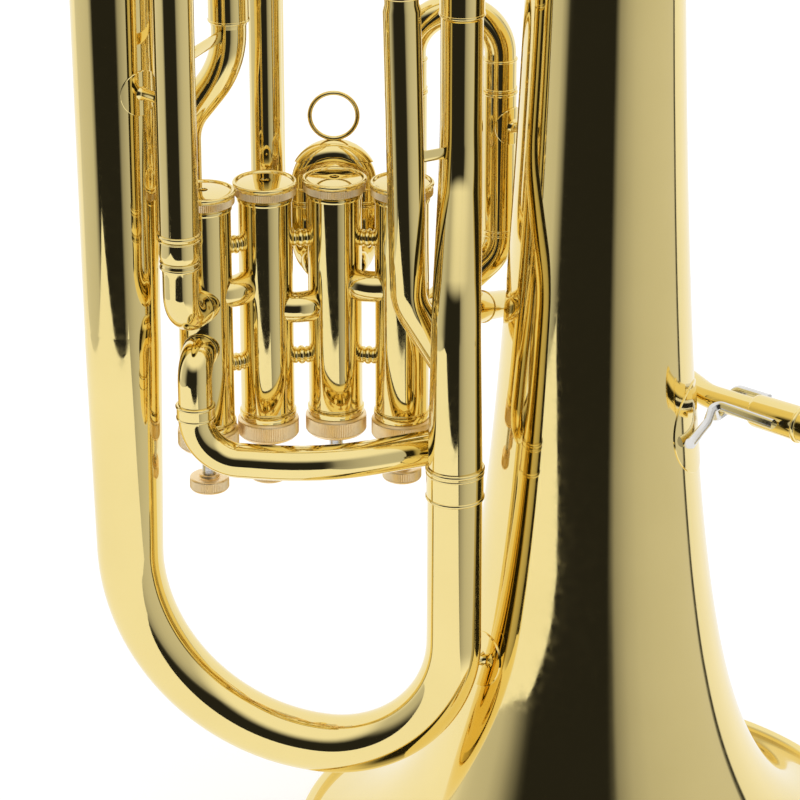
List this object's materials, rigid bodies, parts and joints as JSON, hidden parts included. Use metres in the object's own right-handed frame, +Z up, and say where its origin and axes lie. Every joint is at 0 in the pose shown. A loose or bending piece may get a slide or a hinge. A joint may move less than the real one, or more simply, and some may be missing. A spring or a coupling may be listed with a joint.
{
  "type": "euphonium",
  "caption": "Euphonium with in-line top-action piston valves, a wide conical bell and bows, tuning slides with sleeves, a water key and a mouthpiece receiver.",
  "frame": {"origin": "centre of the bounding box in plan, in the plane of the bell's rim that the instrument stands on", "axes": "+Z up along the bell and the valves, towards the bottom bow; -Y is the player's side; +X runs from the outer branch to the bell"},
  "size_m": [0.3766, 0.28, 0.6441],
  "materials": {
    "lacquered_brass": "polished yellow brass under clear lacquer",
    "satin_brass": "brass under clear lacquer, knurled edges",
    "nickel_silver": "polished nickel silver",
    "piston_metal": "lapped nickel alloy",
    "spring_steel": "drawn spring wire"
  },
  "bodies": {
    "instrument_body": {"bell": "lacquered_brass", "bottom_bow": "lacquered_brass", "outer_branch": "lacquered_brass", "top_bow": "lacquered_brass", "top_bow_ferrule": "lacquered_brass", "tuning_outlet_branch": "lacquered_brass", "crossover_tube": "lacquered_brass", "crossover_ferrule": "lacquered_brass", "leadpipe": "lacquered_brass", "mouthpiece_receiver": "lacquered_brass", "leadpipe_brace": "nickel_silver", "first_slide_left_branch": "lacquered_brass", "first_slide_right_branch": "lacquered_brass", "second_slide_left_branch": "lacquered_brass", "second_slide_right_branch": "lacquered_brass", "third_slide_front_branch": "lacquered_brass", "third_slide_rear_branch": "lacquered_brass", "fourth_slide_front_branch": "lacquered_brass", "fourth_slide_rear_branch": "lacquered_brass", "valve_4_outlet_elbow": "lacquered_brass", "knuckle_1_2": "lacquered_brass", "knuckle_2_3": "lacquered_brass", "knuckle_3_4": "lacquered_brass", "main_slide_inlet_sleeve": "lacquered_brass", "main_slide_outlet_sleeve": "lacquered_brass", "bell_bow_brace": "lacquered_brass", "first_slide_bell_brace": "lacquered_brass", "branch_fourth_slide_brace": "lacquered_brass", "valve_1_casing": "lacquered_brass", "valve_1_bottom_cap": "satin_brass", "valve_1_top_cap": "satin_brass", "valve_1_spring": "spring_steel", "valve_2_casing": "lacquered_brass", "valve_2_bottom_cap": "satin_brass", "valve_2_top_cap": "satin_brass", "valve_2_spring": "spring_steel", "valve_3_casing": "lacquered_brass", "valve_3_bottom_cap": "satin_brass", "valve_3_top_cap": "satin_brass", "valve_3_spring": "spring_steel", "valve_4_casing": "lacquered_brass", "valve_4_bottom_cap": "satin_brass", "valve_4_top_cap": "satin_brass", "valve_4_spring": "spring_steel"},
    "valve_1_moving": {"valve_1_piston": "piston_metal", "valve_1_button": "satin_brass"},
    "valve_2_moving": {"valve_2_piston": "piston_metal", "valve_2_button": "satin_brass"},
    "valve_3_moving": {"valve_3_piston": "piston_metal", "valve_3_button": "satin_brass"},
    "valve_4_moving": {"valve_4_piston": "piston_metal", "valve_4_button": "satin_brass"},
    "main_tuning_slide_body": {"main_tuning_slide": "lacquered_brass", "water_key_saddle": "lacquered_brass"},
    "water_key_body": {"water_key_lever": "lacquered_brass"},
    "first_slide_body": {"first_slide": "lacquered_brass"},
    "second_slide_body": {"second_slide": "lacquered_brass", "second_slide_pull_ring": "lacquered_brass"},
    "third_slide_body": {"third_slide": "lacquered_brass"},
    "fourth_slide_body": {"fourth_slide": "lacquered_brass"}
  },
  "joints": [
    {"name": "valve_1_press", "type": "slide", "parent": "instrument_body", "child": "valve_1_moving", "axis": [0, 0, 1], "range_m": [0, 0.0138], "stiffness_N_per_m": 120, "springref_m": -0.02, "deforming": ["valve_1_spring"]},
    {"name": "valve_2_press", "type": "slide", "parent": "instrument_body", "child": "valve_2_moving", "axis": [0, 0, 1], "range_m": [0, 0.0138], "stiffness_N_per_m": 120, "springref_m": -0.02, "deforming": ["valve_2_spring"]},
    {"name": "valve_3_press", "type": "slide", "parent": "instrument_body", "child": "valve_3_moving", "axis": [0, 0, 1], "range_m": [0, 0.0138], "stiffness_N_per_m": 120, "springref_m": -0.02, "deforming": ["valve_3_spring"]},
    {"name": "valve_4_press", "type": "slide", "parent": "instrument_body", "child": "valve_4_moving", "axis": [0, 0, 1], "range_m": [0, 0.0138], "stiffness_N_per_m": 120, "springref_m": -0.02, "deforming": ["valve_4_spring"]},
    {"name": "main_tuning_slide_pull", "type": "slide", "parent": "instrument_body", "child": "main_tuning_slide_body", "axis": [0, 0, 1], "range_m": [0, 0.045]},
    {"name": "first_slide_pull", "type": "slide", "parent": "instrument_body", "child": "first_slide_body", "axis": [0, 0, 1], "range_m": [0, 0.033]},
    {"name": "second_slide_pull", "type": "slide", "parent": "instrument_body", "child": "second_slide_body", "axis": [0, 0, 1], "range_m": [0, 0.012]},
    {"name": "third_slide_pull", "type": "slide", "parent": "instrument_body", "child": "third_slide_body", "axis": [0, 0, 1], "range_m": [0, 0.05]},
    {"name": "fourth_slide_pull", "type": "slide", "parent": "instrument_body", "child": "fourth_slide_body", "axis": [0, 0, 1], "range_m": [0, 0.035]},
    {"name": "water_key_press", "type": "hinge", "parent": "main_tuning_slide_body", "child": "water_key_body", "pos_m": [-0.0217, -0.02702, 0.496], "axis": [0.8726, 0.4884, 0], "range_deg": [0, 12], "stiffness_Nm_per_rad": 0.05, "springref_deg": -17.19}
  ]
}
